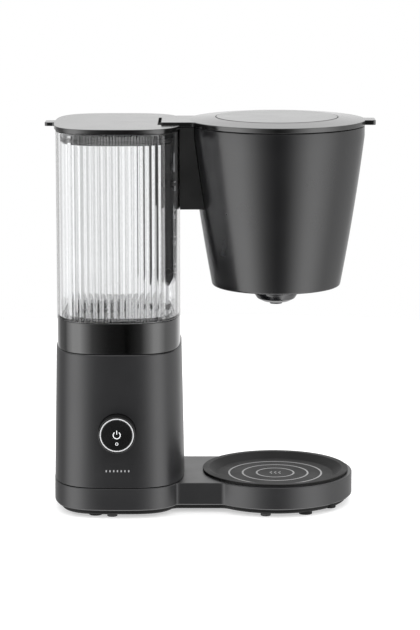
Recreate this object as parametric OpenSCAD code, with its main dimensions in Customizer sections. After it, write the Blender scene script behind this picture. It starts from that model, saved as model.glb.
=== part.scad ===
// Drip coffee brewer: clear water tank on a dark tower at the left, filter basket on an arm at the
// right, round warming plate under the basket. +X to the right, +Z up, the user stands at -Y.
// The origin is on the standing surface, at the centre of the bounding box.

/* [Overall] */
// Left-to-right distance of the tower's axis from the middle
tower_x = -89.2; // [-92:0.2:-88]
// Left-to-right distance of the brewing axis from the middle
brew_x = 64.6; // [63:0.2:66]
// Distance from the middle to the tip of each finger tab
tab_reach = 160; // [158:1:165]
// Distance from the middle to the button's face and to the cord inlet's end
reach_y = 92; // [90:1:96]

/* [Base] */
// Height of the feet
foot_h = 3; // [2:0.5:4]
// Height of the base shell's lower edge
base_z = 8; // [7:0.5:9]
// Height of the base shell's top face
base_top = 30; // [29:0.5:31]
// Half depth of the bridge between tower and plate
bridge_y = 55.7; // [50:0.1:60]
// Radius of the base around the warming plate
base_r = 76; // [75:0.5:80]
// Wall of the moulded shells
wall = 2.5; // [2:0.1:3]

/* [Tower and tank] */
// Half width of the housing at its foot
housing_a = 63.6; // [62:0.1:64]
// Half depth of the housing at its foot
housing_b = 78.5; // [78:0.1:79]
// Height of the housing's top edge
housing_top = 161; // [160:1:162]
// Half width of the tank and its collar
tank_a = 60; // [59.5:0.1:60.5]
// Half depth of the tank and its collar
tank_b = 75; // [74.5:0.1:75.5]
// Height of the tank's lower edge
tank_z = 191.4; // [190:0.2:192]
// Height of the tank's rim
tank_top = 372; // [371:0.5:372]
// Wall of the tank
tank_wall = 3; // [2.5:0.1:3.2]
// Roundness of the tower's plan (2 is an ellipse)
plan_power = 3.3; // [3:0.1:3.6]

/* [Basket and head] */
// Radius of the filter basket's rim
basket_r = 85.3; // [84:0.1:85.5]
// Radius of the filter basket's floor
basket_foot_r = 62.6; // [60:0.1:64]
// Height of the basket's rim
basket_top = 374; // [373:0.2:374]
// Height of the basket's underside
basket_z = 217; // [215:1:219]
// Radius of the round head cover
cover_r = 86; // [85.5:0.1:87]
// Half depth of the arm
arm_y = 31.3; // [30:0.1:33]
// Height of the top of the head cover
head_top = 382; // [381:0.5:383]

/* [Warming plate] */
// Radius of the plate's rim
plate_r = 72; // [71:0.5:73]
// Height of the plate's rim
plate_top = 32.5; // [32:0.1:33]

/* [Button] */
// Height of the button's axis
button_z = 86; // [80:1:95]
// Radius of the button
button_r = 17.75; // [16:0.05:18]

/* [Hidden] */
$fn = 64;

eps = 0.1;
fit = 0.05;
gap = 0.3;

seat_z = base_top + 0.6;
housing_a_top = housing_a - 2.6;
housing_b_top = housing_b - 1.5;
housing_h = housing_top - seat_z;
tank_floor = 3.5;
tank_in_z = tank_z + tank_floor;

screw_r = 1.5;
head_r = 3.5;
head_h = 2.4;

foot_spots = [[-111.3, 60], [92.9, 57]];
pad_spots = [[-94.9, 66], [54, 64]];
cover_posts = [[tower_x - 38.8, 48], [brew_x + 52.5, 44]];
housing_posts = [[-46.1, 60.1], [46.1, 60.1]];

valve_x = tower_x - 20.8;
valve_y = -18;
riser_x = tower_x + 48.2;
riser_r = 3;
barb_r = 4.2;

boiler_x = tower_x - 2.8;
boiler_z = 92;
boiler_r = 24;
boiler_y0 = -25;
boiler_y1 = 54;
outlet_x = boiler_x + 16;

hinge_x = tower_x + 44.7;
hinge_z = 373.5;
knuckle_r = 2.5;
hinge_pin_r = 1.25;

arm_left = tower_x + 42.4;
arm_top = head_top - 3.7;
cover_low = basket_top + 0.7;
channel_z = basket_top + 0.9;
skin_z = arm_top - 1.8;
lid_z = tank_top + 0.4;
lid_top = tank_top + 5;
lid_a = tank_a + 1.5;
lid_b = tank_b + 1;

board_x = tower_x + 47.2;
board_spots = [[-32, 50], [32, 50], [-32, 106], [32, 106]];

// ---- Shared shapes ----

function power_term(v, size) = size * sign(v) * pow(abs(v), 2 / plan_power);

// Rounded plan of the tower, half width a and half depth b
module plan(a, b, steps = 72) {
    polygon([for (i = [0 : steps - 1]) let (t = 360 * i / steps)
        [power_term(cos(t), a), power_term(sin(t), b)]]);
}

// Upright tube with the tower's plan
module plan_shell(a, b, z0, z1, thick) {
    translate([tower_x, 0, z0])
        linear_extrude(z1 - z0)
            difference() {
                plan(a, b);
                plan(a - thick, b - thick);
            }
}

module plan_block(a, b, z0, z1) {
    translate([tower_x, 0, z0])
        linear_extrude(z1 - z0)
            plan(a, b);
}

// Plan of the base: tower foot, bridge and plate ring, moved in by inset
module base_plan(inset) {
    translate([tower_x, 0])
        plan(housing_a + 0.3 - inset, housing_b + 0.3 - inset);
    translate([tower_x, inset - bridge_y])
        square([brew_x - tower_x, 2 * (bridge_y - inset)]);
    translate([brew_x, 0])
        circle(base_r - inset, $fn = 128);
}

module base_slab(inset, z0, z1) {
    translate([0, 0, z0])
        linear_extrude(z1 - z0)
            base_plan(inset);
}

module box(low, high) {
    translate(low)
        cube(high - low);
}

module rod_z(x, y, z0, z1, r) {
    translate([x, y, z0])
        cylinder(h = z1 - z0, r = r);
}

module rod_y(x, z, y0, y1, r) {
    translate([x, y0, z])
        rotate([-90, 0, 0])
            cylinder(h = y1 - y0, r = r);
}

module rod_x(y, z, x0, x1, r) {
    translate([x0, y, z])
        rotate([0, 90, 0])
            cylinder(h = x1 - x0, r = r);
}

// Ring with an upright axis
module ring_z(x, y, z0, z1, r_out, r_in) {
    difference() {
        rod_z(x, y, z0, z1, r_out);
        rod_z(x, y, z0 - eps, z1 + eps, r_in);
    }
}

module mirror_pair(spots) {
    for (p = spots, side = [-1, 1])
        translate([p[0], side * p[1], 0])
            children();
}

// Pan-head screw pointing along +Z, its head's underside at the origin
module screw(length) {
    translate([0, 0, -head_h])
        cylinder(h = head_h, r = head_r, $fn = 32);
    cylinder(h = length, r = screw_r, $fn = 32);
}

// Finger tab with rounded corners, from x0 to x1
module finger_tab(x0, x1, half_y, z0, z1, outer_x) {
    corner = 4;
    inner = (outer_x == x0) ? x1 - corner : x0 + corner;
    tip = (outer_x == x0) ? x0 + corner : x1 - corner;
    translate([0, 0, z0])
        linear_extrude(z1 - z0)
            union() {
                for (side = [-1, 1])
                    translate([tip, side * (half_y - corner)])
                        circle(corner);
                translate([min(tip, inner), -half_y])
                    square([abs(tip - inner), 2 * half_y]);
                translate([x0, corner - half_y])
                    square([x1 - x0, 2 * (half_y - corner)]);
            }
}

// Quarter bend of a hose in the XZ plane about (x, z), from angle start
module hose_bend(x, z, start, bend_r, r_out, r_in) {
    translate([x, 0, z])
        rotate([90, 0, 0])
            rotate([0, 0, start])
                rotate_extrude(angle = 90, $fn = 48)
                    translate([bend_r, 0])
                        difference() {
                            circle(r_out, $fn = 32);
                            circle(r_in, $fn = 32);
                        }
}

// Coil spring along +Z from z = 0, swept with eight sides
module coil(radius, wire, length, turns) {
    sides = 8;
    rings = 12 * turns;
    points = [for (i = [0 : rings], k = [0 : sides - 1])
        let (t = 360 * i / 12, a = 360 * k / sides, r = radius + wire * cos(a))
        [r * cos(t), r * sin(t), wire + (length - 2 * wire) * i / rings + wire * sin(a)]];
    skin = [for (i = [0 : rings - 1], k = [0 : sides - 1]) let (n = (k + 1) % sides)
        [i * sides + k, i * sides + n, (i + 1) * sides + n, (i + 1) * sides + k]];
    first = [for (k = [0 : sides - 1]) sides - 1 - k];
    last = [for (k = [0 : sides - 1]) rings * sides + k];
    polyhedron(points, concat(skin, [first, last]), convexity = 10);
}

// ---- Base ----

module base_shell() {
    color("#2b2b2e")
    difference() {
        union() {
            difference() {
                base_slab(0, base_z, base_top);
                base_slab(wall, base_z - eps, base_top - wall);
            }
            plan_block(housing_a - 1.7, housing_b - 1.7, base_top - 1, seat_z);
            mirror_pair(cover_posts)
                cylinder(h = base_top - 1, r = 4);
        }
        translate([0, 0, -eps])
            linear_extrude(base_z + eps)
                base_plan(-5);
        mirror_pair(cover_posts)
            cylinder(h = base_top - 4, r = screw_r + fit, $fn = 32);
        translate([tower_x, 0, 0])
            mirror_pair(housing_posts)
                rod_z(0, 0, base_top - wall - 1, seat_z + eps, screw_r + fit, $fn = 32);
        mirror_pair([for (x = [-19, 19]) [boiler_x + x, 8]])
            rod_z(0, 0, base_top - wall - 1, seat_z + eps, screw_r + fit, $fn = 32);
        box([tower_x + 28, -15, base_top - wall - 1], [tower_x + 40, 15, seat_z + eps]);
        rod_z(brew_x, 0, base_top - wall - 1, base_top + 1, plate_r - 5.5, $fn = 128);
    }
}

module bottom_cover() {
    color("#161618")
    difference() {
        union() {
            difference() {
                union() {
                    base_slab(5, foot_h, base_z);
                    base_slab(2, base_z - 1.2, base_z);
                }
                base_slab(7.5, foot_h + 2, base_z + eps);
            }
            mirror_pair(cover_posts)
                rod_z(0, 0, foot_h, base_z, 5.5);
        }
        mirror_pair(cover_posts) {
            rod_z(0, 0, foot_h - eps, foot_h + 2.6, head_r + 0.2, $fn = 32);
            rod_z(0, 0, foot_h, base_z + eps, screw_r + fit, $fn = 32);
        }
        for (i = [-3 : 3])
            box([tower_x + 8 * i - 1.5, -20, foot_h - eps], [tower_x + 8 * i + 1.5, 20, foot_h + 3]);
        for (i = [-3 : 3])
            box([brew_x + 8 * i - 1.5, -20, foot_h - eps], [brew_x + 8 * i + 1.5, 20, foot_h + 3]);
    }
}

module bottom_screws() {
    color("#a9abae")
    mirror_pair(cover_posts)
        translate([0, 0, foot_h + 2.6])
            screw(17);
}

module rubber_feet() {
    color("#1b1b1b")
    mirror_pair(foot_spots)
        cylinder(h = foot_h, r = 6.5);
}

module glide_pads() {
    color("#39393b")
    mirror_pair(pad_spots)
        cylinder(h = foot_h, r = 5);
}

module tower_housing() {
    color("#303033")
    difference() {
        union() {
            difference() {
                tapered_plan(0, 0);
                tapered_plan(wall, 0.02);
            }
            translate([tower_x, 0, 0])
                mirror_pair(housing_posts)
                    rod_z(0, 0, seat_z, seat_z + 15, 4.5);
            for (p = board_spots)
                rod_x(p[0], p[1], board_x + 1.6, board_x + 12.2, 3, $fn = 32);
        }
        translate([tower_x, 0, 0])
            mirror_pair(housing_posts)
                rod_z(0, 0, seat_z - eps, seat_z + 13, screw_r + fit, $fn = 32);
        for (p = board_spots)
            rod_x(p[0], p[1], board_x + 1, board_x + 8, screw_r + fit, $fn = 32);
        rod_y(tower_x, button_z, -housing_b - 1, -60, button_r + 0.45);
        rod_y(tower_x, 50, 60, housing_b + 1, 8 + fit);
    }
}

// Solid of the housing's outline, moved in by inset, grown a little at both ends
module tapered_plan(inset, grow) {
    a = housing_a - inset;
    b = housing_b - inset;
    translate([tower_x, 0, seat_z - grow])
        linear_extrude(housing_h + 2 * grow, slices = 1,
            scale = [(housing_a_top - inset) / a, (housing_b_top - inset) / b])
            plan(a, b);
}

module housing_screws() {
    color("#a9abae")
    translate([tower_x, 0, base_top - wall])
        mirror_pair(housing_posts)
            screw(15);
}

// ---- Tank ----

module tank_band() {
    color("#101011")
    difference() {
        union() {
            plan_shell(tank_a, tank_b, housing_top, tank_z, tank_wall);
            plan_shell(housing_a_top - wall - gap, housing_b_top - wall - gap,
                housing_top - 6, housing_top + 3, wall);
            plan_block(tank_a - tank_wall + 1, tank_b - tank_wall + 1, housing_top + 5, housing_top + 7.5);
            plan_shell(tank_a - 1, tank_b - 1, tank_z - 9.9, tank_z - 6.9, 6);
        }
        rod_z(valve_x, valve_y, housing_top, tank_z, 9.3);
        rod_z(riser_x, 0, housing_top, tank_z, 6);
    }
}

module water_tank() {
    color("#dfe8ea80")
    difference() {
        union() {
            plan_block(tank_a, tank_b, tank_z, tank_top);
            plan_block(tank_a - tank_wall - 0.2, tank_b - tank_wall - 0.2, tank_z - 5.4, tank_z + 1);
        }
        plan_block(tank_a - tank_wall, tank_b - tank_wall, tank_in_z, tank_top + eps);
        plan_block(tank_a - tank_wall - 2.7, tank_b - tank_wall - 2.7, tank_z - 6, tank_z);
        rod_z(valve_x, valve_y, tank_z - 1, tank_in_z + 1, 7 + fit);
        rod_z(riser_x, 0, tank_z - 1, tank_in_z + 1, 5 + fit);
        for (y = [-20, 20], z = [318, 334])
            rod_x(y, z, tower_x + 50, tower_x + 62, 2 + fit, $fn = 32);
    }
}

module tank_seal() {
    color("#3a3a3c")
    plan_shell(tank_a - tank_wall - 0.4, tank_b - tank_wall - 0.4, tank_z - 6.9, tank_z - 5.4, 2.2);
}

module tank_strainer() {
    color("#1c1c1e")
    difference() {
        union() {
            rod_z(valve_x, valve_y, tank_in_z, tank_in_z + 1.5, 12);
            rod_z(valve_x, valve_y, tank_in_z, tank_in_z + 8, 9.5);
        }
        rod_z(valve_x, valve_y, tank_in_z - eps, tank_in_z + 6.5, 8);
        for (k = [0 : 3])
            translate([valve_x, valve_y, tank_in_z + 2])
                rotate([0, 0, 45 * k])
                    translate([-12, -1, 0])
                        cube([24, 2, 4]);
    }
}

module valve_gasket() {
    color("#3a3a3c")
    ring_z(valve_x, valve_y, tank_z - 1, tank_z, 11, 7 + fit);
}

module check_valve_body() {
    color("#e4e2dc")
    translate([valve_x, valve_y, 0])
        difference() {
            rotate_extrude()
                polygon([[0, 150], [barb_r, 150], [barb_r, 164], [9, 164], [9, tank_z - 3],
                    [11, tank_z - 3], [11, tank_z - 1], [7, tank_z - 1], [7, tank_in_z], [0, tank_in_z]]);
            rod_z(0, 0, 149, tank_in_z + 1, 3, $fn = 32);
            rod_z(0, 0, 172, 184.6, 5.2, $fn = 32);
            for (k = [0, 90])
                translate([0, 0, 169])
                    rotate([0, 0, k])
                        translate([-5, -1, 0])
                            cube([10, 2, 4]);
        }
}

module check_ball() {
    color("#b9bbbd")
    translate([valve_x, valve_y, 175.65])
        sphere(r = 4.5, $fn = 32);
}

module inlet_hose() {
    color("#d7d4cd")
    ring_z(valve_x, valve_y, 124, 163.5, 6.5, barb_r + fit);
}

module outlet_hose() {
    color("#d7d4cd")
    union() {
        ring_z(outlet_x, 0, 114, 136, 5.5, barb_r + fit);
        hose_bend(outlet_x + 10, 136, 90, 10, 5.5, barb_r + fit);
        difference() {
            rod_x(0, 146, outlet_x + 10, riser_x - 10, 5.5);
            rod_x(0, 146, outlet_x + 9, riser_x - 9, barb_r + fit);
        }
        hose_bend(riser_x - 10, 156, -90, 10, 5.5, barb_r + fit);
        ring_z(riser_x, 0, 156, 186, 5.5, barb_r + fit);
    }
}

module riser_grommet() {
    color("#3a3a3c")
    translate([riser_x, 0, 0])
        rotate_extrude()
            polygon([[riser_r + fit, tank_z - 2], [6, tank_z - 2], [6, tank_z], [5, tank_z],
                [5, tank_in_z], [6.5, tank_in_z], [6.5, tank_in_z + 2], [riser_r + fit, tank_in_z + 2]]);
}

module riser_tube() {
    color("#8f9194")
    difference() {
        union() {
            rod_z(riser_x, 0, 180, basket_top + 0.4, riser_r, $fn = 32);
            rod_z(riser_x, 0, 176, 186, barb_r, $fn = 32);
        }
        rod_z(riser_x, 0, 175, basket_top + 1, 2.2, $fn = 32);
    }
}

module riser_column() {
    left = tower_x + 43.7;
    right = tower_x + 56.7;
    radius = (right - left) / 2;
    color("#1a1a1c")
    difference() {
        union() {
            box([left, -9, 225.5], [right, 9, 370]);
            translate([left + radius, 9, 0])
                rotate([90, 0, 0])
                    linear_extrude(18)
                        polygon([[-radius, 225.5], [-1.2, 217], [1.2, 217], [radius, 225.5]]);
            box([riser_x, -7.5, 369], [right, 7.5, 372.2]);
        }
        rod_z(riser_x, 0, 200, 380, riser_r + fit, $fn = 32);
        rod_y(left + radius, 231, -10, -3.6, 1.45, $fn = 32);
        box([riser_x - 3.2, -3.2, 370], [riser_x, 3.2, 373]);
    }
}

module riser_screw() {
    color("#0f0f10")
    union() {
        rod_y(tower_x + 50.2, 231, -11, -9, 3.2);
        rod_y(tower_x + 50.2, 231, -9.5, -4.6, 1.4, $fn = 32);
    }
}

// ---- Arm ----

// Solid of the basket's outside, grown sideways, for cutting clearances
module basket_clearance(grow) {
    translate([brew_x, 0, 0])
        rotate_extrude($fn = 128)
            polygon(concat([[0, basket_z - 10]],
                [for (p = basket_side(9)) [p[0] + grow, p[1]]],
                [[basket_r + grow, basket_top + 20], [0, basket_top + 20]]));
}

module arm_bracket() {
    left = tower_x + 60;
    right = brew_x - 68.6;
    low = 295;
    color("#0e0e0f")
    difference() {
        union() {
            difference() {
                box([left, -31, low], [right, 31, basket_top]);
                basket_clearance(0.6);
                translate([left + 28, 0, low])
                    rotate([0, 45, 0])
                        cube([6, 64, 6], center = true);
                difference() {
                    box([left + 3, -28, low + 6], [right, 28, basket_top + eps]);
                    basket_clearance(3.6);
                }
            }
            box([hinge_x + 3, -28.8, tank_top + 0.2], [left + 2, 28.8, basket_top]);
            for (side = [-1, 1]) {
                mid = side * 22.15;
                rod_y(hinge_x, hinge_z, mid - 5.85, mid + 5.85, knuckle_r);
                box([hinge_x, mid - 5.85, hinge_z - 2], [hinge_x + 4, mid + 5.85, basket_top]);
            }
        }
        rod_y(hinge_x, hinge_z, -30, 30, hinge_pin_r + 0.01, $fn = 32);
        box([hinge_x + 2, -3.2, tank_top], [riser_x, 3.2, basket_top + eps]);
        rod_z(riser_x, 0, tank_top, basket_top + eps, riser_r + 0.2, $fn = 32);
        box([left + 1, -12.5, 344.5], [brew_x - 75, 12.5, 352.5]);
        for (y = [-20, 20], z = [318, 334])
            rod_x(y, z, left - 1, left + 4, 2 + fit, $fn = 32);
    }
}

module bracket_screws() {
    color("#a9abae")
    for (y = [-20, 20], z = [318, 334]) {
        rod_x(y, z, tower_x + 53.4, tower_x + 56.4, 3.6, $fn = 32);
        rod_x(y, z, tower_x + 56.2, tower_x + 62.8, 2, $fn = 32);
    }
}

module hinge_pins() {
    color("#c4c6c8")
    for (side = [-1, 1])
        rod_y(hinge_x, hinge_z, side * 18.15 - 9.65, side * 18.15 + 9.65, hinge_pin_r, $fn = 32);
}

// ---- Warming plate ----

module warming_plate() {
    color("#4a4a4c")
    translate([brew_x, 0, 0])
        rotate_extrude($fn = 128)
            polygon([[0, 25.2], [57.7, 25.2], [63.7, 31], [plate_r, 31], [plate_r, plate_top - 0.5],
                [plate_r - 0.5, plate_top], [plate_r - 6, plate_top], [62.5, 31.9], [57, 26.7], [0, 26.7]]);
}

module plate_seal() {
    color("#3a3a3c")
    ring_z(brew_x, 0, base_top, 31, plate_r - 1, plate_r - 5, $fn = 128);
}

module plate_element() {
    color("#9b9489")
    translate([brew_x, 0, 21.6])
        rotate([0, 0, 210])
            rotate_extrude(angle = 300, $fn = 96)
                translate([42, 0])
                    circle(3.5, $fn = 32);
}

module element_clamp() {
    color("#b4b6b8")
    translate([brew_x, 0, 16.3])
        difference() {
            union() {
                cylinder(h = 1.6, r = 12);
                for (k = [0 : 2])
                    rotate([0, 0, 120 * k + 30])
                        translate([0, -6, 0])
                            cube([48, 12, 1.6]);
            }
            translate([0, 0, -1])
                cylinder(h = 4, r = 3 + fit, $fn = 32);
        }
}

module clamp_bolt() {
    color("#a9abae")
    translate([brew_x, 0, 0])
        union() {
            rod_z(0, 0, 13, 25.2, 3, $fn = 32);
            rod_z(0, 0, 12, 16.3, 5.5, $fn = 6);
        }
}

module plate_thermostat() {
    color("#c9c1ac")
    translate([brew_x, 0, 0])
        rotate([0, 0, 90])
            translate([22, 0, 17.4])
                cylinder(h = 7.8, r = 7.5);
}

module thermal_fuses() {
    color("#e6e2d6")
    union() {
        rod_y(brew_x - 20, 22.6, 8, 22, 2.5, $fn = 32);
        rod_y(boiler_x, boiler_z + boiler_r + 3.05, 18, 34, 3, $fn = 32);
    }
}

// ---- Boiler ----

module boiler_drum() {
    color("#c3c5c8")
    difference() {
        union() {
            rod_y(boiler_x, boiler_z, boiler_y0, boiler_y1, boiler_r);
            rod_y(boiler_x, boiler_z, boiler_y1 - 2, boiler_y1, boiler_r + 4);
            rod_z(valve_x, valve_y, boiler_z + 8, 140, barb_r, $fn = 32);
            rod_z(outlet_x, 0, boiler_z + 8, 128, barb_r, $fn = 32);
        }
        rod_y(boiler_x, boiler_z, boiler_y0 + 1.5, boiler_y1 + 1, boiler_r - 1.5);
        rod_z(valve_x, valve_y, boiler_z, 141, 3, $fn = 32);
        rod_z(outlet_x, 0, boiler_z, 129, 3, $fn = 32);
    }
}

module boiler_gasket() {
    color("#3a3a3c")
    difference() {
        rod_y(boiler_x, boiler_z, boiler_y1, boiler_y1 + 1.5, boiler_r + 4);
        rod_y(boiler_x, boiler_z, boiler_y1 - 1, boiler_y1 + 2.5, boiler_r - 1.5);
    }
}

module boiler_end_plate() {
    color("#b4b6b8")
    difference() {
        rod_y(boiler_x, boiler_z, boiler_y1 + 1.5, boiler_y1 + 4, boiler_r + 4);
        for (side = [-1, 1])
            rod_y(boiler_x + 10 * side, boiler_z, boiler_y1, boiler_y1 + 6, 3 + fit, $fn = 32);
    }
}

module boiler_element() {
    color("#9b9489")
    union() {
        for (side = [-1, 1])
            rod_y(boiler_x + 10 * side, boiler_z, -5, boiler_y1 + 12, 3, $fn = 32);
        translate([boiler_x, -5, boiler_z])
            rotate([0, 0, 180])
                rotate_extrude(angle = 180, $fn = 48)
                    translate([10, 0])
                        circle(3, $fn = 32);
    }
}

module boiler_bracket() {
    color("#b4b6b8")
    difference() {
        union() {
            box([boiler_x - 24, -18, seat_z], [boiler_x + 24, 40, seat_z + 2]);
            for (y = [-18, 38])
                box([boiler_x - 24, y, seat_z], [boiler_x + 24, y + 2, boiler_z - 6]);
        }
        rod_y(boiler_x, boiler_z, -20, 45, boiler_r + fit);
        mirror_pair([for (x = [-19, 19]) [boiler_x + x, 8]])
            rod_z(0, 0, seat_z - 1, seat_z + 3, screw_r + fit, $fn = 32);
    }
}

module boiler_screws() {
    color("#8b8d90")
    mirror_pair([for (x = [-19, 19]) [boiler_x + x, 8]])
        translate([0, 0, seat_z + 2])
            mirror([0, 0, 1])
                screw(9);
}

// ---- Electrics ----

module control_board() {
    color("#1f5b3a")
    difference() {
        union() {
            box([board_x, -38, 44], [board_x + 1.6, 38, 112]);
            box([board_x - 14, -22, 62], [board_x, -4, 78]);
            box([board_x - 8, 18, 48], [board_x, 28.2, 56]);
            rod_x(14, 84, board_x - 12, board_x, 6);
            rod_x(-12, 96, board_x - 10, board_x, 5);
        }
        for (p = board_spots)
            rod_x(p[0], p[1], board_x - 1, board_x + 3, screw_r + fit, $fn = 32);
    }
}

module board_screws() {
    color("#a9abae")
    for (p = board_spots)
        translate([board_x, p[0], p[1]])
            rotate([0, 90, 0])
                screw(6);
}

module terminal_block() {
    color("#ece9df")
    difference() {
        box([tower_x - 46, 28, seat_z], [tower_x - 32, 55, seat_z + 12]);
        for (y = [34, 42, 50])
            rod_z(tower_x - 39, y, seat_z + 8, seat_z + 13, 2.2, $fn = 32);
    }
}

// Flat cable from the terminal block along the floor and up to the board's connector
module wiring() {
    low = seat_z + 4;
    high = low + 1.4;
    bend_x = board_x - 13;
    color("#6d3b2a")
    union() {
        box([tower_x - 32, 46, low], [bend_x + 8, 54, high]);
        box([bend_x, 19, low], [bend_x + 8, 54, high]);
        box([bend_x, 19, low], [bend_x + 1.4, 27, 52]);
        box([bend_x, 19, 50.6], [board_x - 8, 27, 52]);
    }
}

module micro_switch() {
    color("#262629")
    union() {
        box([tower_x - 9, -52, button_z - 8], [tower_x + 9, -42, button_z + 8]);
        rod_y(tower_x, button_z, -54.2, -51.5, 2, $fn = 32);
    }
}

module switch_bracket() {
    color("#b4b6b8")
    union() {
        box([tower_x - 12, -42, seat_z], [tower_x + 12, -40.4, button_z + 12]);
        box([tower_x - 12, -42, seat_z], [tower_x + 12, -24, seat_z + 1.6]);
    }
}

module button_guide() {
    color("#232326")
    difference() {
        union() {
            rod_y(tower_x, button_z, -74.2, -67, 21.5);
            rod_y(tower_x, button_z, -68, -60, 6);
        }
        rod_y(tower_x, button_z, -75, -70, 19.5);
        rod_y(tower_x, button_z, -71, -59, 3 + fit, $fn = 48);
    }
}

module button_spring() {
    color("#c4c6c8")
    translate([tower_x, -70, button_z])
        rotate([90, 0, 0])
            coil(5, 0.5, reach_y - 73, 6);
}

module button_cap() {
    face = -reach_y;
    color("#1d1d1f")
    difference() {
        union() {
            difference() {
                rod_y(tower_x, button_z, face, -74.5, button_r);
                rod_y(tower_x, button_z, face + 3, -74, button_r - 2.2);
            }
            rod_y(tower_x, button_z, face + 2, -57, 3, $fn = 48);
        }
        difference() {
            rod_y(tower_x, button_z, face - 1, face + 0.8, 16.4);
            rod_y(tower_x, button_z, face - 2, face + 1, 14.2);
        }
    }
}

module button_ring() {
    color("#f2f2f2")
    difference() {
        rod_y(tower_x, button_z, -reach_y, 0.8 - reach_y, 16.4 - fit);
        rod_y(tower_x, button_z, -reach_y - 1, 2 - reach_y, 14.2 + fit);
    }
}

module cord_inlet() {
    color("#141415")
    difference() {
        union() {
            rod_y(tower_x, 50, 70, 80, 8);
            rod_y(tower_x, 50, 78.4, 82, 12);
            rod_y(tower_x, 50, 82, reach_y, 9);
            rod_y(tower_x, 50, 70, 74, 11);
        }
        rod_y(tower_x, 50, 69, reach_y + 1, 4);
    }
}

// ---- Lids ----

// Clearance round the arm's end, cut from the tank lid
module lid_notch(z0, z1) {
    box([tower_x + 38.9, -33, z0], [tower_x + 80, 33, z1]);
}

module tank_lid() {
    color("#26262a")
    difference() {
        union() {
            difference() {
                plan_block(lid_a, lid_b, lid_z, lid_top);
                plan_block(lid_a - 2.5, lid_b - 2.5, lid_z - eps, lid_top - 2.2);
            }
            plan_shell(tank_a - tank_wall - 1.3, tank_b - tank_wall - 1.3, tank_top - 11, lid_top - 1, 2.2);
            finger_tab(-tab_reach, tower_x - lid_a + 4, 10, lid_z + 0.2, lid_top, -tab_reach);
        }
        lid_notch(tank_top - 12, lid_top + 1);
    }
}

module tank_lid_seal() {
    a = tank_a - tank_wall - gap;
    b = tank_b - tank_wall - gap;
    color("#4a4a4c")
    difference() {
        plan_shell(a, b, tank_top - 9, tank_top - 6, 0.95);
        lid_notch(tank_top - 12, lid_top);
    }
}

module head_cover() {
    rim_z = head_top - 2.7;
    color("#26262a")
    difference() {
        union() {
            translate([brew_x, 0, 0])
                rotate_extrude($fn = 128)
                    polygon([[0, head_top - 4.7], [cover_r - 2.5, head_top - 4.7], [cover_r - 2.5, cover_low],
                        [cover_r, cover_low], [cover_r, rim_z], [cover_r - 1, rim_z + 0.5],
                        [59.4, head_top - 0.3], [59.4, head_top - 2.6], [0, head_top - 2.6]]);
            box([arm_left, -arm_y, cover_low], [brew_x - 79, arm_y, arm_top]);
            finger_tab(brew_x + cover_r - 4, tab_reach, 12, cover_low + 0.3, rim_z, tab_reach);
        }
        box([arm_left - 1, 2 - arm_y, cover_low - 1], [brew_x - 78, arm_y - 2, skin_z]);
    }
    color("#26262a")
    for (side = [-1, 1])
        difference() {
            union() {
                rod_y(hinge_x, hinge_z, side * 12.15 - 3.85, side * 12.15 + 3.85, knuckle_r);
                box([hinge_x - 1.8, side * 12.15 - 3.85, hinge_z], [hinge_x + 1.3, side * 12.15 + 3.85, skin_z]);
            }
            rod_y(hinge_x, hinge_z, side * 12.15 - 5, side * 12.15 + 5, hinge_pin_r + fit, $fn = 32);
        }
}

module cover_inlay() {
    color("#2c2c30")
    translate([brew_x, 0, 0])
        rotate_extrude($fn = 128)
            polygon([[0, head_top - 2.6], [58.9, head_top - 2.6], [58.9, head_top - 0.4],
                [58.4, head_top], [0, head_top]]);
}

module cover_gasket() {
    color("#4a4a4c")
    difference() {
        ring_z(brew_x, 0, cover_low + 0.6, head_top - 4.7, 79, 76.5, $fn = 128);
        box([brew_x - 82, -7.3, cover_low], [brew_x - 70, 7.3, head_top]);
    }
}

module water_channel() {
    color("#19191b")
    difference() {
        box([hinge_x + 0.2, -7, channel_z], [brew_x - 32, 7, skin_z]);
        box([hinge_x + 1, -5.6, channel_z + 0.6], [brew_x - 31, 5.6, skin_z + eps]);
        rod_z(riser_x, 0, channel_z - 1, channel_z + 1, 2.4, $fn = 32);
    }
}

module shower_head() {
    color("#19191b")
    translate([brew_x, 0, 0])
        difference() {
            rod_z(0, 0, channel_z, head_top - 4.7, 32);
            rod_z(0, 0, channel_z + 0.8, head_top, 30);
            box([-33, -5.6, channel_z + 0.8], [-25, 5.6, head_top]);
            for (k = [0 : 11])
                rotate([0, 0, 30 * k])
                    rod_z(22, 0, channel_z - 1, channel_z + 2, 1.3, $fn = 16);
            for (k = [0 : 5])
                rotate([0, 0, 60 * k])
                    rod_z(11, 0, channel_z - 1, channel_z + 2, 1.3, $fn = 16);
        }
}

// ---- Basket ----

// Outer side of the basket from its lower corner to its rim, slightly bulged
function basket_side(steps) = [for (i = [0 : steps]) let (t = i / steps)
    [basket_foot_r + (basket_r - basket_foot_r) * t + 5 * t * (1 - t),
     basket_z + (basket_top - 10 - basket_z) * t]];

function reversed(list) = [for (i = [len(list) - 1 : -1 : 0]) list[i]];

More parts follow.
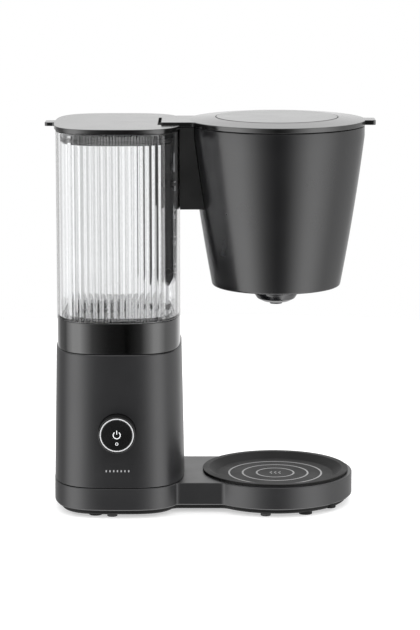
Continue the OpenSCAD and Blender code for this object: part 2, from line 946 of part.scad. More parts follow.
module filter_basket() {
    side = basket_side(9);
    rest = [for (i = [1 : 9]) side[i]];
    inner = reversed([for (i = [1 : 8]) side[i] - [wall, 0]]);
    ledge_r = basket_r - wall - 2;
    ledge_z = basket_top - 11;
    color("#29292c")
    difference() {
        union() {
            translate([brew_x, 0, 0])
                rotate_extrude($fn = 128)
                    polygon(concat([[12, basket_z], [basket_foot_r - 2.5, basket_z],
                        [basket_foot_r - 0.6, basket_z + 0.9], [basket_foot_r + 0.4, basket_z + 2.6]],
                        rest, [[basket_r, basket_top], [basket_r - wall, basket_top],
                        [basket_r - wall, ledge_z], [ledge_r, ledge_z], [ledge_r, ledge_z - 1.5],
                        [basket_r - wall - 0.6, ledge_z - 3]],
                        inner, [[basket_foot_r - 3, basket_z + 3], [12, basket_z + 3]]));
            difference() {
                box([tower_x + 64.2, -12, 345], [brew_x - 79.5, 12, 352]);
                basket_clearance(-1);
            }
        }
        for (k = [0 : 2])
            translate([brew_x, 0, basket_z - 1])
                rotate([0, 0, 120 * k])
                    translate([18.5, 0, 0])
                        cylinder(h = 5, r = screw_r, $fn = 24);
    }
}

module filter_insert() {
    side = [for (p = basket_side(9)) if (p[1] > basket_z + 16 && p[1] < basket_top - 15) p];
    outer = [for (p = side) p - [3.7, 0]];
    inner = reversed([for (p = side) p - [5.4, 0]]);
    top = basket_top - 11;
    foot = side[0];
    color("#1e1e20")
    translate([brew_x, 0, 0])
        difference() {
            rotate_extrude($fn = 128)
                polygon(concat([[0, foot[1] - 2], [foot[0] - 4.2, foot[1] - 2]], outer,
                    [[basket_r - 5.4, top], [basket_r - 2.9, top], [basket_r - 2.9, top + 2],
                    [basket_r - 7.4, top + 2], [basket_r - 7.4, top - 1]],
                    inner, [[0, foot[1]]]));
            for (r = [12, 24, 36, 48], k = [0 : r / 4 - 1])
                rotate([0, 0, 360 * k / (r / 4)])
                    rod_z(r, 0, foot[1] - 3, foot[1] + 1, 2, $fn = 16);
        }
}

module outlet_nozzle() {
    color("#0c0c0d")
    translate([brew_x, 0, 0])
        rotate_extrude($fn = 96)
            polygon([[6.08, 206], [13, 206], [13, 200], [16, 200], [16.5, 200.6], [17, 203], [18.2, 206],
                [20.2, 209], [22.6, 211.2], [24, 212.4], [24, basket_z], [10, basket_z],
                [10, 210], [6.08, 210]]);
}

module drip_cage() {
    low = basket_z + 3;
    color("#1e1e20")
    translate([brew_x, 0, 0])
        difference() {
            union() {
                rod_z(0, 0, low, low + 1.5, 15);
                rod_z(0, 0, low, low + 11, 11.5);
            }
            rod_z(0, 0, low - eps, low + 9.5, 10);
            for (k = [0 : 3])
                rotate([0, 0, 45 * k])
                    box([-13, -1.5, low + 3], [13, 1.5, low + 8]);
        }
}

module drip_valve() {
    color("#3c3c40")
    translate([brew_x, 0, 0])
        difference() {
            union() {
                rod_z(0, 0, 198, 211, 6);
                rod_z(0, 0, 210.3, 213, 8.6);
            }
            for (k = [0 : 2])
                rotate([0, 0, 120 * k])
                    box([4.4, -1.2, 199.5], [7, 1.2, 210]);
        }
}

module drip_spring() {
    color("#c4c6c8")
    translate([brew_x, 0, 213])
        coil(5.5, 0.5, basket_z + 12.5 - 213, 6);
}

base_shell();
bottom_cover();
bottom_screws();
rubber_feet();
glide_pads();
tower_housing();
housing_screws();
tank_band();
water_tank();
tank_seal();
tank_strainer();
valve_gasket();
check_valve_body();
check_ball();
inlet_hose();
outlet_hose();
riser_grommet();
riser_tube();
riser_column();
riser_screw();
arm_bracket();
bracket_screws();
hinge_pins();
warming_plate();
plate_seal();
plate_element();
element_clamp();
clamp_bolt();
plate_thermostat();
thermal_fuses();
boiler_drum();
boiler_gasket();
boiler_end_plate();
boiler_element();
boiler_bracket();
boiler_screws();
control_board();
board_screws();
terminal_block();
wiring();
micro_switch();
switch_bracket();
button_guide();
button_spring();
button_cap();
button_ring();
cord_inlet();
tank_lid();
tank_lid_seal();
head_cover();
cover_inlay();
cover_gasket();
water_channel();
shower_head();
filter_basket();
filter_insert();
outlet_nozzle();
drip_cage();
drip_valve();
drip_spring();
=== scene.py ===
import math
from bisect import bisect_right
from functools import partial

import bmesh
import bpy
from mathutils import Matrix, Vector


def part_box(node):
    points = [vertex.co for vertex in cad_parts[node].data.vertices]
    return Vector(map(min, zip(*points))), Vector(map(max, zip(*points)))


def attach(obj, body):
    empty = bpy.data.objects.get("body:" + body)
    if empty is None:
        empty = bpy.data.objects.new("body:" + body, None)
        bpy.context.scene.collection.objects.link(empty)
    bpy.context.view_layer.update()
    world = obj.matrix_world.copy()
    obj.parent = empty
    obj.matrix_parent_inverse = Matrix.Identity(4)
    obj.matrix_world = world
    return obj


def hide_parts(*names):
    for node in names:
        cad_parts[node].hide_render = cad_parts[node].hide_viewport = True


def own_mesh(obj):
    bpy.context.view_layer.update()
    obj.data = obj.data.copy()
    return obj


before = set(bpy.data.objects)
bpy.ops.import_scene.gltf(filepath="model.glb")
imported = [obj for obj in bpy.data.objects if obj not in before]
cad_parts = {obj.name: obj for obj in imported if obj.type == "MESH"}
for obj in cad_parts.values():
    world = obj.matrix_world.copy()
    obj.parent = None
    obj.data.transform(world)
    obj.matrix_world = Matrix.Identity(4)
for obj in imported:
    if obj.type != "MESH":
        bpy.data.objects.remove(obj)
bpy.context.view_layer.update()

MM = 0.001
# Exponent of the tower's rounded plan: 2 is an ellipse, and more is nearer to a rectangle
PLAN_POWER = 3.3
# Edges sharper than the first are shaded as edges, and edges sharper than the second get a bevel in detail_copy
SHARP_ANGLE = math.radians(34)
BEVEL_ANGLE = math.radians(38)
# Points of a CAD mesh nearer than this, in metres, are one point
WELD = 2e-6
# Depth of the tank's flutes and thickness of the prints on the housing and button, in mm
FLUTE_DEPTH = 1.35
PRINT = 0.12

# Patches per metre in the slow drift of colour and gloss
DRIFT_SCALE = 38

# The photograph's view: lens and sensor in mm, place in metres, angles in degrees
LENS = 146.45
SENSOR = 36
CAMERA_PLACE = (0.0020, -2.4775, 0.6458)
CAMERA_TILT = 79.485
CAMERA_TURN = 0.05

# Softboxes near the object, in metres
SOFTBOX_DISTANCE = 2.2
SOFTBOX_HEIGHT = 1.5
SOFTBOX_SIZE = 0.9
AIM_HEIGHT = 0.2

# The studio's upright light by angle in degrees from the front, left side negative: a softbox at the left round -60,
# a wider one at the right from 45 to 60, a dim fill behind and nothing in front
PANELS = [(-180, 0.3), (-140, 0.1), (-110, 0.15), (-75, 1.0), (-50, 1.1), (-20, 0.2), (0, 0.0), (15, 0.1), (45, 1.0),
          (60, 1.0), (90, 0.4), (140, 0.2), (180, 0.3)]
PANEL_POWER = 4.2
# Above the horizon the panels fade, at this slope from this height, to a brightness between two limits
HORIZON = -0.03
HORIZON_SLOPE = 10.0
UPPER_LEAST = 0.12
UPPER_MOST = 0.305
# Light from above and from the table below, and how closely each gathers there
OVERHEAD_POWER = 1.6
OVERHEAD_FOCUS = 2.0
TABLE_POWER = 2.2
TABLE_FOCUS = 4.0
# What is seen through clear walls: mean brightness with a swing and a finer ripple round the studio, each with its
# number of waves, and where it is dimmed by angle in degrees
BEHIND_MEAN = 0.75
BEHIND_SWING = 0.05
SWING_WAVES = 8.0
BEHIND_RIPPLE = -0.25
RIPPLE_WAVES = 16.0
BEHIND = [(-180, 1.0), (-150, 0.85), (-120, 1.0), (110, 1.0), (150, 0.6), (175, 1.0), (180, 1.0)]
BEHIND_POWER = 1.24


# ---- Places, read from the frame, in millimetres ----

def span(node):
    """Lowest and highest corner of a CAD node, in millimetres."""
    low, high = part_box(node)
    return low / MM, high / MM


def middle(node):
    """Centre of a CAD node's box, in millimetres."""
    low, high = span(node)
    return (low + high) / 2


def islands(node):
    """Boxes of the separate solids of a node, in millimetres."""
    bm = bmesh.new()
    bm.from_mesh(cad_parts[node].data)
    bmesh.ops.remove_doubles(bm, verts=bm.verts, dist=WELD)
    left = set(bm.verts)
    boxes = []
    while left:
        stack = [left.pop()]
        found = []
        while stack:
            v = stack.pop()
            found.append(v.co / MM)
            for e in v.link_edges:
                other = e.other_vert(v)
                if other in left:
                    left.discard(other)
                    stack.append(other)
        low = Vector([min(p[k] for p in found) for k in range(3)])
        high = Vector([max(p[k] for p in found) for k in range(3)])
        boxes.append((low, high))
    bm.free()
    return sorted(boxes, key=lambda b: tuple(round(c, 3) for c in b[0]))


TOWER = middle("water_tank")
BREW = middle("warming_plate")


# ---- Camera, light and floor ----

def make_camera():
    camera = bpy.data.cameras.new("camera")
    camera.lens = LENS
    camera.sensor_width = SENSOR
    camera.clip_end = 50
    obj = bpy.data.objects.new("camera", camera)
    obj.location = CAMERA_PLACE
    obj.rotation_euler = (math.radians(CAMERA_TILT), 0, math.radians(CAMERA_TURN))
    bpy.context.scene.collection.objects.link(obj)
    bpy.context.scene.camera = obj


def world_ramp(nodes, links, around, stops):
    """Brightness round the studio through (degrees, value) stops; around is 0 to 1 and starts at the back."""
    ramp = nodes.new("ShaderNodeValToRGB")
    elements = ramp.color_ramp.elements
    places = [angle / 360 + 0.5 for angle, _ in stops]
    elements[0].position = places[0]
    elements[1].position = places[-1]
    for place in places[1:-1]:
        elements.new(place)
    for element, (_, value) in zip(elements, stops):
        element.color = (value, value, value, 1)
    links.new(around, ramp.inputs["Fac"])
    return ramp.outputs["Color"]


def world_math(nodes, links, operation, first, second=None):
    """Math node fed by sockets or numbers."""
    node = nodes.new("ShaderNodeMath")
    node.operation = operation
    for k, value in enumerate((first, second)):
        if hasattr(value, "default_value"):
            links.new(value, node.inputs[k])
        elif value is not None:
            node.inputs[k].default_value = value
    return node.outputs[0]


def panel_glow(calc, low, z):
    """Upright panels: as they are below the horizon, and held between two limits above it."""
    high = calc("MINIMUM", calc("MAXIMUM", low, UPPER_LEAST), UPPER_MOST)
    rise = calc("MULTIPLY", calc("SUBTRACT", z, HORIZON), HORIZON_SLOPE)
    rise = calc("MINIMUM", calc("MAXIMUM", rise, 0.0), 1.0)
    change = calc("MULTIPLY", calc("SUBTRACT", high, low), rise)
    return calc("MULTIPLY", calc("ADD", low, change), PANEL_POWER)


def pole_glow(calc, height, focus, power):
    """Light gathered round straight up, or straight down where height is turned over."""
    return calc("MULTIPLY", calc("POWER", calc("MAXIMUM", height, 0.0), focus), power)


def behind_glow(calc, turn):
    """Waves of light and dark round the studio, for what is seen through clear walls."""
    swing = calc("COSINE", calc("MULTIPLY", turn, SWING_WAVES))
    ripple = calc("COSINE", calc("MULTIPLY", turn, RIPPLE_WAVES))
    bright = calc("ADD", calc("MULTIPLY", swing, BEHIND_SWING), BEHIND_MEAN)
    bright = calc("ADD", calc("MULTIPLY", ripple, BEHIND_RIPPLE), bright)
    return calc("MULTIPLY", bright, BEHIND_POWER)


def world_choice(nodes, links, rays, usual, chosen):
    """Shader that uses chosen for those rays and usual for the others."""
    mix = nodes.new("ShaderNodeMixShader")
    links.new(rays, mix.inputs["Fac"])
    links.new(usual.outputs[0], mix.inputs[1])
    links.new(chosen.outputs[0], mix.inputs[2])
    return mix


def make_world():
    """Studio round the object: soft light for it, a backdrop for its clear walls, and white for the camera."""
    world = bpy.data.worlds.new("studio")
    bpy.context.scene.world = world
    world.use_nodes = True
    nodes = world.node_tree.nodes
    links = world.node_tree.links
    nodes.clear()
    calc = partial(world_math, nodes, links)
    place = nodes.new("ShaderNodeTexCoord")
    axes = nodes.new("ShaderNodeSeparateXYZ")
    links.new(place.outputs["Generated"], axes.inputs[0])
    x, y, z = axes.outputs
    turn = calc("ARCTAN2", x, calc("MULTIPLY", y, -1.0))
    around = calc("ADD", calc("DIVIDE", turn, 2 * math.pi), 0.5)
    glow = panel_glow(calc, world_ramp(nodes, links, around, PANELS), z)
    overhead = pole_glow(calc, z, OVERHEAD_FOCUS, OVERHEAD_POWER)
    table = pole_glow(calc, calc("MULTIPLY", z, -1.0), TABLE_FOCUS, TABLE_POWER)
    lit = nodes.new("ShaderNodeBackground")
    links.new(calc("ADD", calc("ADD", glow, overhead), table), lit.inputs["Strength"])
    through = nodes.new("ShaderNodeBackground")
    links.new(behind_glow(calc, turn), through.inputs["Strength"])
    links.new(world_ramp(nodes, links, around, BEHIND), through.inputs["Color"])
    seen = nodes.new("ShaderNodeBackground")
    seen.inputs["Color"].default_value = (1, 1, 1, 1)
    rays = nodes.new("ShaderNodeLightPath").outputs
    surface = world_choice(nodes, links, rays["Is Transmission Ray"], lit, through)
    surface = world_choice(nodes, links, rays["Is Camera Ray"], surface, seen)
    out = nodes.new("ShaderNodeOutputWorld")
    links.new(surface.outputs[0], out.inputs["Surface"])


def make_softbox(name, azimuth, power):
    """Square soft light aimed at the object; azimuth 0 is on the camera's side, in degrees."""
    light = bpy.data.lights.new(name, "AREA")
    light.shape = "SQUARE"
    light.size = SOFTBOX_SIZE
    light.energy = power
    obj = bpy.data.objects.new(name, light)
    turn = math.radians(azimuth)
    obj.location = (SOFTBOX_DISTANCE * math.sin(turn), -SOFTBOX_DISTANCE * math.cos(turn), SOFTBOX_HEIGHT)
    aim = Vector((0, 0, AIM_HEIGHT)) - obj.location
    obj.rotation_euler = aim.to_track_quat("-Z", "Y").to_euler()
    obj.visible_camera = False
    bpy.context.scene.collection.objects.link(obj)


def make_lights():
    make_softbox("softbox_left", -70, 10)
    make_softbox("softbox_right", 60, 8)


def make_floor():
    bm = bmesh.new()
    bmesh.ops.create_circle(bm, cap_ends=True, segments=96, radius=1.0)
    mesh = bpy.data.meshes.new("floor")
    bm.to_mesh(mesh)
    bm.free()
    floor = bpy.data.objects.new("floor", mesh)
    material = finish("floor_paint", (0.62, 0.62, 0.62), 0.75, grain=0.05, grain_size=3, spread=0.01,
                      Emission_Color=(1, 1, 1, 1), Emission_Strength=0.5)
    floor.data.materials.append(material)
    bpy.context.scene.collection.objects.link(floor)
    floor.visible_glossy = False
    floor.visible_transmission = False


# ---- Materials ----

def node_for(material, kind, **values):
    """New node in a material with its own sockets set."""
    node = material.node_tree.nodes.new(kind)
    for key, value in values.items():
        node.inputs[key.replace("_", " ")].default_value = value
    return node


def new_material(name):
    material = bpy.data.materials.new(name)
    material.use_nodes = True
    return material, material.node_tree.nodes["Principled BSDF"], material.node_tree.links


def finish(name, colour, rough, grain=0.01, grain_size=0.4, spread=0.08, rough_spread=0.05,
           stretch=(1, 1, 1), **sockets):
    """Opaque finish: colour that drifts a little, uneven gloss and a fine grain of that depth and size in mm."""
    material, shader, links = new_material(name)
    for key, value in sockets.items():
        shader.inputs[key.replace("_", " ")].default_value = value
    place = node_for(material, "ShaderNodeTexCoord")
    mapping = node_for(material, "ShaderNodeMapping", Scale=stretch)
    links.new(place.outputs["Object"], mapping.inputs["Vector"])
    drift = node_for(material, "ShaderNodeTexNoise", Scale=DRIFT_SCALE, Detail=3)
    links.new(mapping.outputs[0], drift.inputs["Vector"])
    ramp = node_for(material, "ShaderNodeValToRGB")
    for element, position, share in zip(ramp.color_ramp.elements, (0.25, 0.75), (1 - spread, 1 + spread)):
        element.position = position
        element.color = [c * share for c in colour] + [1]
    links.new(drift.outputs["Fac"], ramp.inputs["Fac"])
    links.new(ramp.outputs["Color"], shader.inputs["Base Color"])
    fine = node_for(material, "ShaderNodeTexNoise", Scale=1 / (grain_size * MM), Detail=2)
    links.new(mapping.outputs[0], fine.inputs["Vector"])
    gloss = node_for(material, "ShaderNodeMapRange", From_Min=0.3, From_Max=0.7,
                     To_Min=max(rough - rough_spread, 0.01), To_Max=rough + rough_spread)
    links.new(drift.outputs["Fac"], gloss.inputs["Value"])
    links.new(gloss.outputs[0], shader.inputs["Roughness"])
    bump = node_for(material, "ShaderNodeBump", Strength=1.0, Distance=grain * MM)
    links.new(fine.outputs["Fac"], bump.inputs["Height"])
    links.new(bump.outputs[0], shader.inputs["Normal"])
    return material


def clear_plastic(name, colour, rough):
    material, shader, links = new_material(name)
    shader.inputs["Base Color"].default_value = (*colour, 1)
    shader.inputs["Transmission Weight"].default_value = 1
    shader.inputs["IOR"].default_value = 1.49
    place = node_for(material, "ShaderNodeTexCoord")
    ripple = node_for(material, "ShaderNodeTexNoise", Scale=45, Detail=1)
    links.new(place.outputs["Object"], ripple.inputs["Vector"])
    gloss = node_for(material, "ShaderNodeMapRange", To_Min=rough * 0.5, To_Max=rough * 1.5)
    links.new(ripple.outputs["Fac"], gloss.inputs["Value"])
    links.new(gloss.outputs[0], shader.inputs["Roughness"])
    bump = node_for(material, "ShaderNodeBump", Strength=0.3, Distance=0.006 * MM)
    links.new(ripple.outputs["Fac"], bump.inputs["Height"])
    links.new(bump.outputs[0], shader.inputs["Normal"])
    return material


def make_finishes():
    """Every finish of the object, by name."""
    satin = {"rough_spread": 0.02, "grain_size": 0.35}
    coat = {"Coat_Weight": 0.3, "Coat_Roughness": 0.25}
    return {
        "housing": finish("housing_satin", (0.011, 0.011, 0.012), 0.33, grain=0.006, **satin),
        "base": finish("base_satin", (0.014, 0.014, 0.015), 0.36, grain=0.006, **satin),
        # Underside cover: dark plastic, made darker and less shiny than its own colour as painted shade for the
        # shadow under the base
        "under": finish("underside_matt_painted_shade", (0.006, 0.006, 0.006), 0.65, grain=0.02, Specular_IOR_Level=0.2),
        "rubber": finish("foot_rubber_matt", (0.008, 0.008, 0.008), 0.8, grain=0.03, grain_size=0.6,
                         Specular_IOR_Level=0.25),
        "pad": finish("pad_felt", (0.03, 0.03, 0.03), 0.7, grain=0.04, grain_size=0.5),
        "gloss": finish("collar_gloss", (0.002, 0.002, 0.002), 0.05, grain=0.002, grain_size=6, rough_spread=0.02,
                        Coat_Weight=0.4, Coat_Roughness=0.05),
        "tank": clear_plastic("tank_clear_plastic", (0.985, 0.99, 0.995), 0.02),
        "lid": finish("lid_satin", (0.003, 0.003, 0.003), 0.14, grain=0.0015, **satin, **coat),
        "inlay": finish("inlay_satin", (0.003, 0.003, 0.003), 0.16, grain=0.0015, **satin, **coat),
        "basket": finish("basket_satin", (0.004, 0.004, 0.0045), 0.26, rough_spread=0.015, grain=0.004,
                         grain_size=0.35),
        "insert": finish("insert_matt", (0.02, 0.02, 0.022), 0.5, grain=0.012),
        "nozzle": finish("nozzle_gloss", (0.006, 0.006, 0.007), 0.16, grain=0.003, grain_size=1.2),
        "valve": finish("valve_grey", (0.05, 0.05, 0.055), 0.4, grain=0.006),
        "bracket": finish("bracket_dark", (0.006, 0.006, 0.006), 0.33, grain=0.008, grain_size=0.35),
        "plate": finish("plate_enamel", (0.006, 0.006, 0.006), 0.52, grain=0.03, grain_size=0.7,
                        Specular_IOR_Level=0.17),
        "print": finish("plate_print_grey", (0.30, 0.30, 0.30), 0.55, grain=0.002),
        "button": finish("button_dark", (0.004, 0.004, 0.004), 0.22, grain=0.006),
        "light": finish("ring_light", (0.62, 0.62, 0.63), 0.35, grain=0.002, spread=0.02),
        "mark": finish("scale_white", (0.86, 0.87, 0.88), 0.5, grain=0.002, spread=0.02),
        "seal": finish("seal_silicone", (0.02, 0.02, 0.02), 0.6, grain=0.01),
        "pale_seal": finish("seal_silicone_clear", (0.55, 0.55, 0.54), 0.5, grain=0.01),
        "scale": finish("scale_grey", (0.34, 0.34, 0.35), 0.5, grain=0.002, spread=0.02),
        "white": finish("moulding_white", (0.74, 0.72, 0.67), 0.4, grain=0.006),
        "hose": finish("hose_silicone", (0.62, 0.60, 0.55), 0.45, grain=0.008, Subsurface_Weight=0.1),
        "steel": finish("steel_bright", (0.55, 0.55, 0.56), 0.28, grain=0.004, grain_size=0.8, Metallic=1.0),
        "sheet": finish("steel_brushed", (0.50, 0.50, 0.51), 0.34, grain=0.006, grain_size=0.5,
                        stretch=(1, 12, 12), Metallic=1.0),
        "black_steel": finish("steel_blackened", (0.03, 0.03, 0.03), 0.35, grain=0.004, Metallic=0.8),
        "element": finish("element_sheath", (0.32, 0.31, 0.29), 0.45, grain=0.008, Metallic=0.9),
        "board": finish("board_lacquer", (0.02, 0.11, 0.055), 0.3, grain=0.004, spread=0.2),
        "cable": finish("cable_brown", (0.16, 0.05, 0.03), 0.5, grain=0.006),
    }


# ---- Mesh tools, all in millimetres ----

def plan_point(angle, half_x, half_y):
    """Point of the tower's rounded plan about its own axis."""
    x = math.cos(angle)
    y = math.sin(angle)
    power = 2 / PLAN_POWER
    return Vector((math.copysign(abs(x) ** power, x) * half_x, math.copysign(abs(y) ** power, y) * half_y))


def plan_angle(y, half_y):
    """Angle at which the tower's plan reaches that y."""
    return math.asin((abs(y) / half_y) ** (PLAN_POWER / 2))


def plan_arc(half_x, half_y, start=0, stop=2 * math.pi):
    """Run of the tower's plan between two angles, all round by default."""
    shift = Vector((TOWER.x, TOWER.y))
    count = 400
    return [plan_point(start + (stop - start) * i / count, half_x, half_y) + shift for i in range(count + 1)]


def circle_arc(radius, start, stop):
    """Run of a circle about the brewing axis between two angles."""
    count = 240
    turn = [start + (stop - start) * i / count for i in range(count + 1)]
    return [Vector((BREW.x + radius * math.cos(t), BREW.y + radius * math.sin(t))) for t in turn]


def run_lengths(points):
    """Distance along a polyline at each of its points."""
    lengths = [0.0]
    for a, b in zip(points, points[1:]):
        lengths.append(lengths[-1] + (b - a).length)
    return lengths


def joined(parts):
    """Points of all parts in one closed line, and (index, reach) of the corners to be rounded."""
    points = []
    corners = []
    for reach, part in parts:
        fresh = [Vector(p) for p in part]
        if points and (fresh[0] - points[-1]).length < 1e-6:
            points.pop()
        if reach > 0:
            corners.append((len(points), reach))
        points.extend(fresh)
    if (points[0] - points[-1]).length < 1e-6:
        points.pop()
    return points, corners


def trace(parts):
    """Closed outline through all parts. Each part is (reach, points): its first corner is rounded over that reach."""
    spacing = 2.4
    fan = 7
    points, corners = joined(parts)
    lengths = run_lengths(points + points[:1])
    total = lengths[-1]

    def at(s):
        s = s % total
        low = bisect_right(lengths, s, 0, len(points)) - 1
        step = lengths[low + 1] - lengths[low]
        share = (s - lengths[low]) / step if step > 0 else 0
        return points[low].lerp(points[(low + 1) % len(points)], share)

    if not corners:
        count = round(total / spacing)
        return [at(total * i / count) for i in range(count)]
    outline = []
    for k, (index, reach) in enumerate(corners):
        corner = points[index]
        here = lengths[index]
        begin = at(here - reach)
        end = at(here + reach)
        for i in range(fan + 1):
            t = i / fan
            outline.append(begin.lerp(corner, t).lerp(corner.lerp(end, t), t))
        following, next_reach = corners[(k + 1) % len(corners)]
        stop = lengths[following] + (total if k == len(corners) - 1 else 0) - next_reach
        room = stop - (here + reach)
        count = max(1, round(room / spacing))
        outline.extend(at(here + reach + room * i / count) for i in range(1, count))
    return outline


def inset(outline, distance):
    """Closed outline moved inwards by a distance; it runs anticlockwise."""
    moved = []
    for i, p in enumerate(outline):
        before = (p - outline[i - 1]).normalized()
        after = (outline[(i + 1) % len(outline)] - p).normalized()
        mean = before + after
        normal = Vector((-mean.y, mean.x)).normalized()
        lean = max(0.5, normal.dot(Vector((-before.y, before.x))))
        moved.append(p + normal * (distance / lean))
    return moved


def rounded(corners, closed=False, steps=4):
    """Polyline of (a, b, radius) corners with each corner turned into an arc of that radius."""
    result = []
    count = len(corners)
    for i, (a, b, radius) in enumerate(corners):
        here = Vector((a, b))
        if radius <= 0 or (not closed and i in (0, count - 1)):
            result.append((a, b))
            continue
        back = Vector(corners[i - 1][:2]) - here
        ahead = Vector(corners[(i + 1) % count][:2]) - here
        half = back.angle(ahead) / 2
        reach = min(radius / math.tan(half), back.length * 0.49, ahead.length * 0.49)
        radius = reach * math.tan(half)
        start = here + back.normalized() * reach
        stop = here + ahead.normalized() * reach
        centre = here + (back.normalized() + ahead.normalized()).normalized() * (radius / math.sin(half))
        first = start - centre
        sweep = first.angle_signed(stop - centre)
        for k in range(steps + 1):
            turn = Matrix.Rotation(-sweep * k / steps, 2)
            spot = centre + turn @ first
            result.append((spot.x, spot.y))
    return result


def lift(outline, z):
    """Flat outline put at a height."""
    return [Vector((p.x, p.y, z)) for p in outline]


def loft(rings, loop=False, bm=None):
    """Skin through rings of equal length, closed at both ends, or with loop joined from the last to the first."""
    bm = bm or bmesh.new()
    rows = [[bm.verts.new(p) for p in ring] for ring in rings]
    pairs = list(zip(rows, rows[1:]))
    if loop:
        pairs.append((rows[-1], rows[0]))
    for low, high in pairs:
        for i in range(len(low)):
            j = (i + 1) % len(low)
            bm.faces.new((low[i], low[j], high[j], high[i]))
    if not loop:
        bm.faces.new(list(reversed(rows[0])))
        bm.faces.new(rows[-1])
    return bm


def prism(outline, profile):
    """Solid from an outline and a rounded profile of (inset, z)."""
    return loft([lift(inset(outline, a) if abs(a) > 1e-9 else outline, z) for a, z in profile])


def lathe(profile, centre, steps=96, bm=None):
    """Solid of revolution about a vertical axis from a closed polyline of (radius, z)."""
    bm = bm or bmesh.new()
    turns = [2 * math.pi * i / steps for i in range(steps)]
    rows = []
    for r, z in profile:
        if r < 1e-6:
            rows.append([bm.verts.new((centre.x, centre.y, z))])
        else:
            rows.append([bm.verts.new((centre.x + r * math.cos(t), centre.y + r * math.sin(t), z)) for t in turns])
    for low, high in zip(rows, rows[1:] + rows[:1]):
        if len(low) == 1 and len(high) == 1:
            continue
        for i in range(steps):
            j = (i + 1) % steps
            if len(low) == 1:
                bm.faces.new((low[0], high[j], high[i]))
            elif len(high) == 1:
                bm.faces.new((low[i], low[j], high[0]))
            else:
                bm.faces.new((low[i], low[j], high[j], high[i]))
    return bm


def lathe_y(profile, centre, steps=96):
    """Solid of revolution about an axis along Y, from a closed polyline of (radius, y)."""
    bm = lathe([(r, -y) for r, y in profile], Vector((0, 0)), steps)
    bm.transform(Matrix.Rotation(math.radians(90), 4, "X"))
    bm.transform(Matrix.Translation((centre.x, 0, centre.z)))
    return bm


def rod(radius, start, stop):
    """Profile of a plain cylinder between two places on its axis."""
    return [(0, start), (radius, start), (radius, stop), (0, stop)]


def block(low, high, bm=None):
    """Plain box, as a start for cutting or bevelling."""
    corners = [(low[0], low[1]), (high[0], low[1]), (high[0], high[1]), (low[0], high[1])]
    return loft([[Vector((x, y, z)) for x, y in corners] for z in (low[2], high[2])], bm=bm)


def solid(name, bm):
    """Object from a mesh in millimetres, with outward normals."""
    bmesh.ops.recalc_face_normals(bm, faces=bm.faces)
    bm.transform(Matrix.Scale(MM, 4))
    mesh = bpy.data.meshes.new(name)
    bm.to_mesh(mesh)
    bm.free()
    obj = bpy.data.objects.new(name, mesh)
    bpy.context.scene.collection.objects.link(obj)
    return obj


def combine(obj, tool, operation):
    """Joins a tool mesh in millimetres to obj, or cuts it away."""
    other = solid("tool", tool)
    modifier = obj.modifiers.new("combine", "BOOLEAN")
    modifier.object = other
    modifier.operation = operation
    modifier.solver = "EXACT"
    bpy.context.view_layer.update()
    mesh = bpy.data.meshes.new_from_object(obj.evaluated_get(bpy.context.evaluated_depsgraph_get()))
    obj.modifiers.clear()
    obj.data = mesh
    mesh.name = obj.name
    bpy.data.objects.remove(other)


def dress(obj, look, body, slot, *nodes, sharp=SHARP_ANGLE):
    """Shades an object, gives it a finish, puts it on its body and lets it stand for its CAD nodes."""
    bm = bmesh.new()
    bm.from_mesh(obj.data)
    bmesh.ops.remove_doubles(bm, verts=bm.verts, dist=1e-6)
    for face in bm.faces:
        face.smooth = True
        face.material_index = 0
    for edge in bm.edges:
        edge.smooth = len(edge.link_faces) != 2 or edge.calc_face_angle(0) < sharp
    bm.to_mesh(obj.data)
    bm.free()
    obj.data.materials.clear()
    obj.data.materials.append(FINISHES[look])
    even = obj.modifiers.new("even_shading", "WEIGHTED_NORMAL")
    even.keep_sharp = True
    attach(obj, body)
    if nodes:
        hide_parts(*nodes)
    return obj


def detail_copy(name, node, width, look, body, slot):
    """Copy of a CAD node with its sharp edges broken by a small bevel, which stands for that node."""
    bm = bmesh.new()
    bm.from_mesh(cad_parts[node].data)
    bmesh.ops.remove_doubles(bm, verts=bm.verts, dist=WELD)
    bmesh.ops.dissolve_limit(bm, angle_limit=math.radians(1.0), verts=bm.verts, edges=bm.edges)
    sharp = [e for e in bm.edges if len(e.link_faces) == 2 and e.calc_face_angle(0) > BEVEL_ANGLE]
    bmesh.ops.bevel(bm, geom=sharp, offset=width * MM, segments=2, profile=0.5, affect="EDGES",
                    clamp_overlap=True)
    mesh = bpy.data.meshes.new(name)
    bm.to_mesh(mesh)
    bm.free()
    obj = bpy.data.objects.new(name, mesh)
    bpy.context.scene.collection.objects.link(obj)
    return dress(obj, look, body, slot, node)


# ---- Base ----

def base_outline():
    """Plan of the base: tower foot, bridge and plate ring in one line."""
    low, high = span("base_shell")
    half_x = TOWER.x - low.x
    half_y = high.y
    ring = high.x - BREW.x
    bridge = half_y - 23.1
    turn = math.asin(bridge / ring)
    foot = plan_angle(bridge, half_y)
    return trace([
        (3, circle_arc(ring, turn - math.pi, math.pi - turn)),
        (3, plan_arc(half_x, half_y, foot, 2 * math.pi - foot)),
    ])


def make_base():
    low, high = span("base_shell")
    outline = base_outline()
    top = high.z - 0.6
    profile = rounded([(5, top - 2.5, 0), (5, low.z, 0.3), (0.9, low.z, 0.2), (0, low.z + 0.9, 0.3), (0, top, 0.9),
                       (8, top, 0)])
    shell = solid("shell_base", prism(outline, profile))
    recess = span("warming_plate")[1].x - BREW.x - 5.5
    combine(shell, lathe(rod(recess, top - 12, top + 1), BREW), "DIFFERENCE")
    dress(shell, "base", "root", "housing_plastic", "base_shell")


